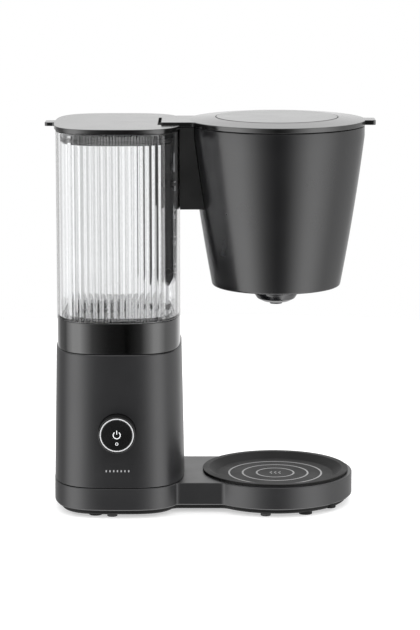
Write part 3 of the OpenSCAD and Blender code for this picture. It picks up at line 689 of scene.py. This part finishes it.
def make_underside():
    low, high = span("bottom_cover")
    outline = base_outline()
    lip = high.z - 1.2
    dish = low.z + 1.6
    profile = rounded([(9, low.z, 0), (6, low.z, 1), (5, dish, 1), (5, lip, 0), (2, lip, 0.2), (2, high.z, 0.2),
                       (9, high.z, 0)])
    cover = solid("cover_underside", prism(outline, profile))
    bosses = bmesh.new()
    holes = bmesh.new()
    for start, end in islands("bottom_screws"):
        centre = (start + end) / 2
        r = (end.x - start.x) / 2
        lathe(rod(r + 2.3, low.z, lip), centre, 40, bosses)
        lathe(rod(r + 0.3, low.z - 1, low.z + 2.6), centre, 40, holes)
    combine(cover, bosses, "UNION")
    combine(cover, holes, "DIFFERENCE")
    slots = bmesh.new()
    for centre in (TOWER.x, BREW.x):
        for i in range(-3, 4):
            x = centre + 8 * i
            block((x - 1.5, -20, low.z - 1), (x + 1.5, 20, dish), slots)
    combine(cover, slots, "DIFFERENCE")
    # The cover's finish is darkened as painted shade for the shadow under the base
    dress(cover, "under", "root", "under_plastic", "bottom_cover")


def make_feet():
    for name, node, slot, look in (("feet_round", "rubber_feet", "foot_rubber", "rubber"),
                                   ("pads_round", "glide_pads", "pad_plastic", "pad")):
        bm = bmesh.new()
        for low, high in islands(node):
            centre = (low + high) / 2
            r = (high.x - low.x) / 2
            groove = low.z + 0.4
            profile = rounded([(0, low.z, 0), (r - 2.2, low.z, 0), (r - 1.8, groove, 0.2), (r - 1.0, groove, 0.2),
                               (r - 0.6, low.z, 0.2), (r, low.z, 0.6), (r, high.z, 0), (0, high.z, 0)])
            lathe(profile, centre, 48, bm)
        dress(solid(name, bm), look, "root", slot, node)


# ---- Tower ----

def make_housing():
    low, high = span("tower_housing")
    half_x = TOWER.x - low.x
    half_y = high.y
    foot = [p - Vector((TOWER.x, 0)) for p in trace([(0, plan_arc(half_x, half_y))])]
    wall = 2.5
    taper_x = 2.6 / half_x
    taper_y = 1.5 / half_y
    profile = rounded([(wall, low.z, 0), (0, low.z, 0.6), (0, high.z, 1.4), (wall, high.z, 0.3), (wall, low.z, 0)])
    rings = []
    for depth, z in profile[:-1]:
        share = (z - low.z) / (high.z - low.z)
        ring = [Vector((p.x * (1 - taper_x * share), p.y * (1 - taper_y * share))) for p in foot]
        ring = [p + Vector((TOWER.x, 0)) for p in inset(ring, depth)]
        rings.append(lift(ring, z))
    shell = solid("shell_housing", loft(rings, loop=True))
    cap_low, cap_high = span("button_cap")
    hole = (cap_high.x - cap_low.x) / 2 + 0.5
    inlet = 8.1
    inside = 60
    combine(shell, lathe_y(rod(hole, -inside, cap_low.y), middle("button_ring"), 72), "DIFFERENCE")
    combine(shell, lathe_y(rod(inlet, inside, half_y + 4), middle("cord_inlet"), 48), "DIFFERENCE")
    dress(shell, "housing", "root", "housing_plastic", "tower_housing")


def make_collar():
    high = span("tank_band")[1]
    tank_low, tank_high = span("water_tank")
    half_x = TOWER.x - tank_low.x
    half_y = tank_high.y
    base = span("tower_housing")[1].z
    outline = trace([(0, plan_arc(half_x, half_y))])
    floor = base + 7.5
    profile = rounded([(8, base, 0), (0.2, base, 0.4), (0, base + 2, 0.5), (0, high.z, 0.9), (3, high.z, 0.3),
                       (3, floor, 1), (8, floor, 0)])
    dress(solid("collar_gloss_band", prism(outline, profile)), "gloss", "root", "gloss_band", "tank_band")


def tank_outline(half_x, half_y, pitch, flutes, samples):
    """Points of the tank's plan and how deep each lies in a flute, from 0 to 1."""
    half_run = flutes * pitch / 2
    points = []
    count = flutes * samples
    right = math.acos((half_run / half_x) ** (PLAN_POWER / 2))
    steps = 400
    corner_points = 60
    for side in (1, -1):
        for i in range(count + 1):
            x = side * (half_run - 2 * half_run * i / count)
            y = side * half_y * (1 - (abs(x) / half_x) ** PLAN_POWER) ** (1 / PLAN_POWER)
            points.append((Vector((x, y)), 1 - abs(math.sin(math.pi * i / samples))))
        turn = 0 if side == 1 else math.pi
        start = turn + math.pi - right
        stop = turn + math.pi + right
        arc = [plan_point(start + (stop - start) * i / steps, half_x, half_y) for i in range(steps + 1)]
        lengths = run_lengths(arc)
        for k in range(1, corner_points):
            want = lengths[-1] * k / corner_points
            j = bisect_right(lengths, want) - 1
            share = (want - lengths[j]) / (lengths[j + 1] - lengths[j])
            points.append((arc[j].lerp(arc[j + 1], share), 0))
    return points


def flute(points, depth):
    """Those points moved inward by their share of the depth."""
    plain = [p for p, _ in points]
    return [p + (q - p) * depth * d for (p, d), q in zip(points, inset(plain, 1.0))]


def make_tank():
    low, high = span("water_tank")
    half_x = TOWER.x - low.x
    half_y = high.y
    foot = span("tank_band")[1].z
    floor = foot + 3.5
    points = tank_outline(half_x, half_y, pitch=5.8, flutes=15, samples=16)
    points = [(p + Vector((TOWER.x, 0)), d) for p, d in points]
    plain = [p for p, _ in points]
    fluted = flute(points, FLUTE_DEPTH)
    profile = rounded([(5.9, foot, 0), (5.9, low.z, 0.3), (3.2, low.z, 0.3), (3.2, foot, 0), (0, foot, 0.6),
                       (0, foot + 1, 0)])
    rings = [lift(inset(plain, a), z) for a, z in profile]
    rings.append(lift(fluted, foot + 1.6))
    rings.append(lift(fluted, high.z - 2))
    sill = foot + 1.2
    profile = rounded([(0, high.z - 1.4, 0), (0, high.z, 0.8), (3, high.z, 0.8), (3, sill, 1.1), (6, sill, 0.8),
                       (7.5, floor, 0.6), (9, floor, 0)])
    rings += [lift(inset(plain, a), z) for a, z in profile]
    dress(solid("tank_clear", loft(rings)), "tank", "root", "clear_tank", "water_tank", sharp=math.radians(50))


def make_riser():
    detail_copy("riser_cover", "riser_column", 0.9, "bracket", "root", "bracket_plastic")
    detail_copy("riser_cover_screw", "riser_screw", 0.25, "black_steel", "root", "screw_steel")
    detail_copy("strainer_cap", "tank_strainer", 0.5, "bracket", "root", "inner_plastic")


# ---- Lids ----

def lid_outline(half_x, half_y, notch_x, notch_y, tab_x, tab_y):
    """Plan of the tank lid: a rounded plan with a notch for the arm at the right and a finger tab at the left."""
    cut = plan_angle(notch_y, half_y)
    side = plan_angle(tab_y, half_y)
    right = TOWER.x + plan_point(cut, half_x, half_y).x
    left = TOWER.x + plan_point(math.pi - side, half_x, half_y).x
    corner = 3.2
    return trace([
        (2.2, plan_arc(half_x, half_y, cut, math.pi - side)),
        (2.5, [Vector((left, tab_y))]),
        (corner, [Vector((tab_x, tab_y))]),
        (corner, [Vector((tab_x, -tab_y))]),
        (2.5, plan_arc(half_x, half_y, math.pi + side, 2 * math.pi - cut)),
        (2.2, [Vector((right, -notch_y))]),
        (2.0, [Vector((notch_x, -notch_y))]),
        (2.0, [Vector((notch_x, notch_y))]),
    ])


def pipe(outer, inner, low, high):
    """Upright wall between two outlines."""
    return loft([lift(outer, low), lift(outer, high), lift(inner, high), lift(inner, low)], loop=True)


def make_tank_lid():
    low, high = span("tank_lid")
    tank_low, tank_high = span("water_tank")
    rim = tank_high.z + 0.4
    brim = 1.5
    half_x = TOWER.x - tank_low.x + brim
    half_y = high.y
    notch = TOWER.x + 38.9
    notch_y = 33
    outline = lid_outline(half_x, half_y, notch, notch_y, low.x, tab_y=10)
    profile = rounded([(1.1, rim, 0), (0, rim, 0.4), (0, high.z, 0.5), (1.1, high.z, 0)])
    lid = solid("lid_top", prism(outline, profile))
    skirt_gap = 4.3
    skirt_x = half_x - brim - skirt_gap
    skirt_y = half_y - 1 - skirt_gap
    skirt = trace([(0, plan_arc(skirt_x, skirt_y))])
    root = high.z - 1.5
    walls = rounded([(0, root, 0), (0, low.z, 0.6), (2.2, low.z, 0.6), (2.2, root, 0)], steps=2)
    tube = loft([lift(inset(skirt, a), z) for a, z in walls], loop=True)
    combine(lid, tube, "UNION")
    beyond = trace([(0, plan_arc(half_x + 14, half_y + 14))])
    combine(lid, pipe(beyond, inset(beyond, 16.6), rim - 1, rim + 1.1), "DIFFERENCE")
    inside = trace([(0, plan_arc(half_x - 2.5, half_y - 2.5))])
    combine(lid, pipe(inside, inset(inside, 1.4), rim - 1, high.z - 2.2), "DIFFERENCE")
    combine(lid, block((notch, -notch_y, low.z - 1), (TOWER.x + 80, notch_y, high.z + 2)), "DIFFERENCE")
    dress(lid, "lid", "lid", "lid_plastic", "tank_lid")


def cover_outline(radius, left, arm_y, right, tab_y):
    """Plan of the head cover: a round disc with an arm to the left and a finger tab at the right."""
    side = math.asin(arm_y / radius)
    tab = math.asin(tab_y / radius)
    return trace([
        (2.5, circle_arc(radius, tab, math.pi - side)),
        (2.0, [Vector((left, arm_y))]),
        (2.0, [Vector((left, -arm_y))]),
        (2.5, circle_arc(radius, math.pi + side, 2 * math.pi - tab)),
        (3.0, [Vector((right, -tab_y))]),
        (3.0, [Vector((right, tab_y))]),
    ])


def make_cover_hinge(cover, left, under):
    """Knuckles on the cover, room for the bracket's knuckles, and a bore for the two pins."""
    hinge = middle("hinge_pins")
    pin = span("hinge_pins")[1].z - hinge.z + 0.1
    knuckle = 2.5
    pin_end = 28.4
    knuckle_ends = (8.3, 16)
    notch_ends = (16.05, pin_end)
    for sign in (-1, 1):
        start, stop = sorted(sign * y for y in knuckle_ends)
        combine(cover, lathe_y(rod(knuckle, start, stop), hinge, 32), "UNION")
        start, stop = sorted(sign * y for y in notch_ends)
        notch = block((left - 1, start, under - 1), (left + 2.5, stop, hinge.z + knuckle + 0.4))
        combine(cover, notch, "DIFFERENCE")
    combine(cover, lathe_y(rod(pin, -pin_end, pin_end), hinge, 32), "DIFFERENCE")


def make_head_cover():
    low, high = span("head_cover")
    inlay_low, inlay_high = span("cover_inlay")
    top = inlay_high.z
    edge = inlay_high.x - BREW.x
    radius = high.y
    rim = top - 2.7
    under = span("filter_basket")[1].z + 0.7
    arm_y = 31.3
    outline = cover_outline(radius, low.x, arm_y, high.x, tab_y=12)
    profile = rounded([(1.1, under, 0), (0, under, 0.4), (0, rim, 0.9), (1.1, rim, 0)])
    cover = solid("cover_top", prism(outline, profile))
    groove = edge + 0.7
    disc = radius - 0.05
    dome = rounded([(0, under + 1, 0), (disc, under + 1, 0), (disc, rim, 1.2), (groove, top - 0.3, 0.4),
                    (groove, top - 2.6, 0), (0, top - 2.6, 0)])
    combine(cover, lathe(dome, BREW, 160), "UNION")
    combine(cover, lathe(rod(radius - 2.5, under - 1, top - 4.7), BREW, 128), "DIFFERENCE")
    inner = BREW.x - radius * math.cos(math.asin(arm_y / radius))
    room = block((low.x + 2.3, 2 - arm_y, under - 1), (inner + 4, arm_y - 2, rim - 1.8))
    combine(cover, room, "DIFFERENCE")
    make_cover_hinge(cover, low.x, under)
    dress(cover, "lid", "cover", "lid_plastic", "head_cover")
    inlay = rounded([(0, inlay_low.z, 0), (edge, inlay_low.z, 0), (edge, top - 0.05, 0.5), (edge - 5, top - 0.02, 0),
                     (0, top, 0)])
    dress(solid("cover_disc", lathe(inlay, BREW, 160)), "inlay", "cover", "inlay_plastic", "cover_inlay")


# ---- Arm, basket and nozzle ----

def basket_side(low, high, foot_r, rim_r):
    """Side of the basket from foot to rim, slightly bulged, as (radius, z)."""
    steps = 16
    bulge = 5
    side = []
    for i in range(steps + 1):
        t = i / steps
        side.append((foot_r + (rim_r - foot_r) * t + bulge * t * (1 - t), low + (high - low) * t))
    return side


def make_basket():
    low, high = span("filter_basket")
    rim_r = high.y
    foot_r = rim_r - 22.7
    outlet = 12
    wall = 2.5
    ledge = rim_r - 4.5
    floor = low.z + 3
    side = basket_side(low.z, high.z - 10, foot_r, rim_r)
    outer = [(r, z) for r, z in side if z > floor]
    inner = [(r - wall, z) for r, z in reversed(side) if low.z + 6 < z < high.z - 20]
    foot = rounded([(outlet, low.z, 0), (foot_r, low.z, 2.2), outer[0] + (0,)])[:-1]
    top = rounded([outer[-1] + (0,), (rim_r, high.z, 0.9), (rim_r - wall, high.z, 0.6),
                   (rim_r - wall, high.z - 11, 0.5), (ledge, high.z - 11, 0.3), (ledge, high.z - 12.5, 0.3),
                   (rim_r - 3.1, high.z - 14, 0)])[1:]
    profile = foot + outer + top + inner + [(foot_r - 3, floor), (outlet, floor)]
    body = solid("basket_cone", lathe(profile, BREW, 144))
    hook = block((low.x, -12, high.z - 29), (BREW.x - rim_r + 4, 12, high.z - 22))
    bmesh.ops.bevel(hook, geom=hook.edges[:], offset=0.8, segments=2, profile=0.5, affect="EDGES")
    combine(body, hook, "UNION")
    dress(body, "basket", "basket", "basket_plastic", "filter_basket")


def make_nozzle():
    low, high = span("outlet_nozzle")
    bore = 6.1
    skirt = 10.5
    outer = 24
    step = low.z + 6
    profile = rounded([(bore, step, 0.3), (skirt, step, 0), (skirt, low.z + 0.6, 0.6), (13, low.z + 0.6, 1),
                       (18.5, low.z + 3.4, 4), (21.6, low.z + 8.2, 4), (22.6, low.z + 11.2, 1),
                       (outer, low.z + 12.4, 0.8), (outer, high.z, 0), (10, high.z, 0), (10, low.z + 10, 0),
                       (bore, low.z + 10, 0)], closed=True)
    nozzle = solid("nozzle_ring", lathe(profile, BREW))
    dress(nozzle, "nozzle", "basket", "nozzle_gloss", "outlet_nozzle")
    detail_copy("drip_plug", "drip_valve", 0.3, "valve", "valve", "valve_plastic")


def make_bracket():
    detail_copy("bracket_arm", "arm_bracket", 0.7, "bracket", "root", "bracket_plastic")


# ---- Warming plate ----

def make_plate():
    low, high = span("warming_plate")
    r = high.y
    floor = low.z + 1.5
    brim = high.z - 1.5
    profile = rounded([(0, low.z, 0), (57.7, low.z, 1), (63.7, brim, 1), (r, brim, 0.3), (r, high.z, 0.6),
                       (r - 6, high.z, 1.2), (57, floor, 2.5), (0, floor, 0)])
    dress(solid("plate_dish", lathe(profile, BREW, 144)), "plate", "root", "plate_coating", "warming_plate")
    under = floor - 0.05
    over = floor + 0.06
    half = 0.85
    prints = bmesh.new()
    for radius in (18.4, 32.3, 45.8):
        ring = [(radius - half, under), (radius + half, under), (radius + half, over), (radius - half, over)]
        lathe(ring, BREW, 128, prints)
    dress(solid("plate_rings", prints), "print", "root", "plate_coating")
    waves = bmesh.new()
    gap = 4.2
    swing = 0.9
    bend = 0.5236
    for k in (-1, 0, 1):
        wave = [Vector((BREW.x + gap * k + swing * math.sin(i * bend), BREW.y - 4.8 + 0.6 * i)) for i in range(17)]
        ribbon(waves, wave, 0.9, under, over)
    dress(solid("plate_mark", waves), "print", "root", "plate_coating")


def ribbon(bm, path, width, z0, z1):
    """Flat strip along a path in plan, with a little thickness."""
    left = []
    right = []
    for i, p in enumerate(path):
        ahead = path[min(i + 1, len(path) - 1)] - path[max(i - 1, 0)]
        normal = Vector((-ahead.y, ahead.x)).normalized() * (width / 2)
        left.append(p + normal)
        right.append(p - normal)
    outline = right + list(reversed(left))
    return loft([lift(outline, z0), lift(outline, z1)], bm=bm)


# ---- Button ----

def on_front(bm, x, y, z):
    """Turns a flat mesh upright, so that it faces the front, and puts it in its place."""
    bm.transform(Matrix.Rotation(math.radians(90), 4, "X"))
    bm.transform(Matrix.Translation((x, y, z)))


def circle_path(radius, first, step, count, y=0):
    """Points on a flat circle, at angles in degrees clockwise from its top."""
    turns = [math.radians(first + step * i) for i in range(count)]
    return [Vector((radius * math.sin(t), radius * math.cos(t) + y)) for t in turns]


def make_button():
    low, high = span("button_cap")
    ring_low, ring_high = span("button_ring")
    centre = middle("button_ring")
    r = (high.x - low.x) / 2
    ring_r = (ring_high.x - ring_low.x) / 2
    face = low.y
    skirt = -74.5
    dish = face + 0.5
    back = face + 3
    groove = face + 0.9
    profile = rounded([(0, dish, 0), (ring_r - 1.6, dish, 1.5), (ring_r - 1.2, face + 0.1, 0.2),
                       (ring_r - 1.1, groove, 0), (ring_r, groove, 0), (ring_r + 0.1, face + 0.05, 0.2),
                       (r, face, 0.7), (r, skirt, 0), (r - 2.2, skirt, 0), (r - 2.2, back, 0), (3, back, 0),
                       (3, high.y, 0.4), (0, high.y, 0)])
    cap = solid("button_face", lathe_y(profile, centre))
    dress(cap, "button", "button", "button_plastic", "button_cap")
    inner = ring_r - 1.05
    outer = ring_r - 0.05
    front = face + 0.05
    seat = face + 0.7
    glow = rounded([(inner, seat, 0), (inner, front, 0.3), (outer, front, 0.3), (outer, seat, 0)])
    dress(solid("button_halo", lathe_y(glow, centre)), "light", "button", "button_light", "button_ring")
    icon = bmesh.new()
    arc = circle_path(radius=3.4, first=38, step=284 / 32, count=33)
    stroke = [Vector((0, y)) for y in (0.8, 2.6, 4.6)]
    dot = circle_path(radius=1.25, first=0, step=15, count=25, y=-8.6)
    for path, width in ((arc, 0.8), (stroke, 0.8), (dot, 0.5)):
        ribbon(icon, path, width, 0, PRINT)
    on_front(icon, centre.x, face + 0.55, centre.z)
    dress(solid("button_icon", icon), "mark", "button", "button_light")


def make_housing_mark():
    """Row of plain ticks in place of lettering."""
    centre = middle("button_ring")
    bm = bmesh.new()
    for k in range(-3, 4):
        ribbon(bm, [Vector((3.6 * k, y)) for y in (-1, 0, 1)], 1.2, 0, PRINT)
    face = span("tower_housing")[0].y
    on_front(bm, centre.x, face + 0.22, centre.z - 38.5)
    dress(solid("housing_ticks", bm), "scale", "root", "white_plastic")


def make_spring(name, node, body, axis):
    """Coil spring along axis 0, 1 or 2, copied from its CAD node with a small bevel."""
    spring = detail_copy(name, node, 0.1, "steel", body, "spring_steel")
    low, high = span(node)
    fixed = middle(node)
    fixed[axis] = high[axis]
    direction = Vector((0, 0, 0))
    direction[axis] = 1
    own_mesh(spring)


def make_inlet():
    low, high = span("cord_inlet")
    flange = low.y + 4
    collar = 78.4
    profile = rounded([(4, low.y, 0.5), (11, low.y, 0.5), (11, flange, 0.4), (8, flange, 0), (8, collar, 0),
                       (12, collar, 0.4), (12, 82, 0.9), (9, 82, 0.6), (8.6, high.y, 0.9), (4, high.y, 0.8)],
                      closed=True)
    bush = solid("inlet_bush", lathe_y(profile, middle("cord_inlet"), 64))
    dress(bush, "rubber", "root", "foot_rubber", "cord_inlet")


# ---- Level scale on the tank ----

def digit_mesh(number):
    """Numeral as a thin flat mesh about its middle, in millimetres."""
    curve = bpy.data.curves.new("digit", "FONT")
    curve.body = str(number)
    curve.size = 7
    curve.extrude = 0.05
    curve.align_x = "CENTER"
    curve.align_y = "CENTER"
    digit = bpy.data.objects.new("digit", curve)
    bpy.context.scene.collection.objects.link(digit)
    bpy.context.view_layer.update()
    mesh = bpy.data.meshes.new_from_object(digit.evaluated_get(bpy.context.evaluated_depsgraph_get()))
    bpy.data.objects.remove(digit)
    return mesh


def make_scale():
    low, high = span("water_tank")
    arc = plan_arc(TOWER.x - low.x, high.y, -math.pi / 2, 0)
    lengths = run_lengths(arc)
    middle_share = 0.585

    def on_wall(x, y, z):
        """x along the wall from the scale's middle, y up, z out of it."""
        want = lengths[-1] * middle_share + x
        j = bisect_right(lengths, want) - 1
        share = (want - lengths[j]) / (lengths[j + 1] - lengths[j])
        spot = arc[j].lerp(arc[j + 1], share)
        way = (arc[j + 1] - arc[j]).normalized()
        return Vector((spot.x + way.y * z, spot.y - way.x * z, y))

    bm = bmesh.new()
    # Section of a mark as (across, out of the wall), the ticks' length and their height above a numeral's middle
    bar = ((-0.3, 0.0), (-0.3, 0.1), (0.3, 0.1), (0.3, 0.0))
    wide = 5.0
    above = 6.6
    for number, z in ((8, 317.5), (6, 290.5), (4, 264.5), (2, 238.0)):
        mesh = digit_mesh(number)
        for v in mesh.vertices:
            v.co = on_wall(v.co.x, z + v.co.y, v.co.z + 0.04)
        bm.from_mesh(mesh)
        bpy.data.meshes.remove(mesh)
        strip(bm, [[on_wall(-wide / 2 + wide * i / 6, z + above + dz, out) for i in range(7)] for dz, out in bar])
    for x in (-3.2, -1.2):
        strip(bm, [[on_wall(x + dx, z, out) for z in (334, 340, 346, 352)] for dx, out in bar])
    dress(solid("tank_scale", bm), "scale", "root", "white_plastic")


def strip(bm, rows):
    """Closed bar through rows of points of equal length."""
    verts = [[bm.verts.new(p) for p in row] for row in rows]
    for k in range(len(verts)):
        a, b = verts[k], verts[(k + 1) % len(verts)]
        for i in range(len(a) - 1):
            bm.faces.new((a[i], a[i + 1], b[i + 1], b[i]))
    bm.faces.new([row[0] for row in verts])
    bm.faces.new([row[-1] for row in reversed(verts)])


# ---- CAD parts that are shown as they are, by finish ----

CARRIED = {
    "steel": ["housing_screws", "hinge_pins", "check_ball", "board_screws", "boiler_screws",
              "clamp_bolt", "boiler_drum", "riser_tube"],
    "black_steel": ["bracket_screws", "bottom_screws"],
    "sheet": ["element_clamp", "boiler_bracket", "switch_bracket", "boiler_end_plate"],
    "element": ["plate_element", "boiler_element", "thermal_fuses", "plate_thermostat"],
    "pale_seal": ["tank_seal"],
    "seal": ["valve_gasket", "riser_grommet", "plate_seal", "boiler_gasket", "tank_lid_seal",
             "cover_gasket"],
    "white": ["check_valve_body", "terminal_block"],
    "hose": ["inlet_hose", "outlet_hose"],
    "board": ["control_board"],
    "cable": ["wiring"],
    "insert": ["filter_insert", "drip_cage", "water_channel", "shower_head", "button_guide", "micro_switch"],
}


def dress_carried():
    for key, names in CARRIED.items():
        for name in names:
            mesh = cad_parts[name].data
            mesh.materials.clear()
            mesh.materials.append(FINISHES[key])


bpy.context.scene.view_settings.view_transform = "Standard"
make_camera()
make_world()
make_lights()
make_floor()
FINISHES = make_finishes()
dress_carried()
for make in (make_base, make_underside, make_feet, make_housing, make_collar, make_tank, make_riser, make_tank_lid,
             make_head_cover, make_basket, make_nozzle, make_bracket, make_plate, make_button, make_housing_mark):
    make()
make_spring("button_coil", "button_spring", "root", 1)
make_spring("drip_coil", "drip_spring", "basket", 2)
make_inlet()
make_scale()
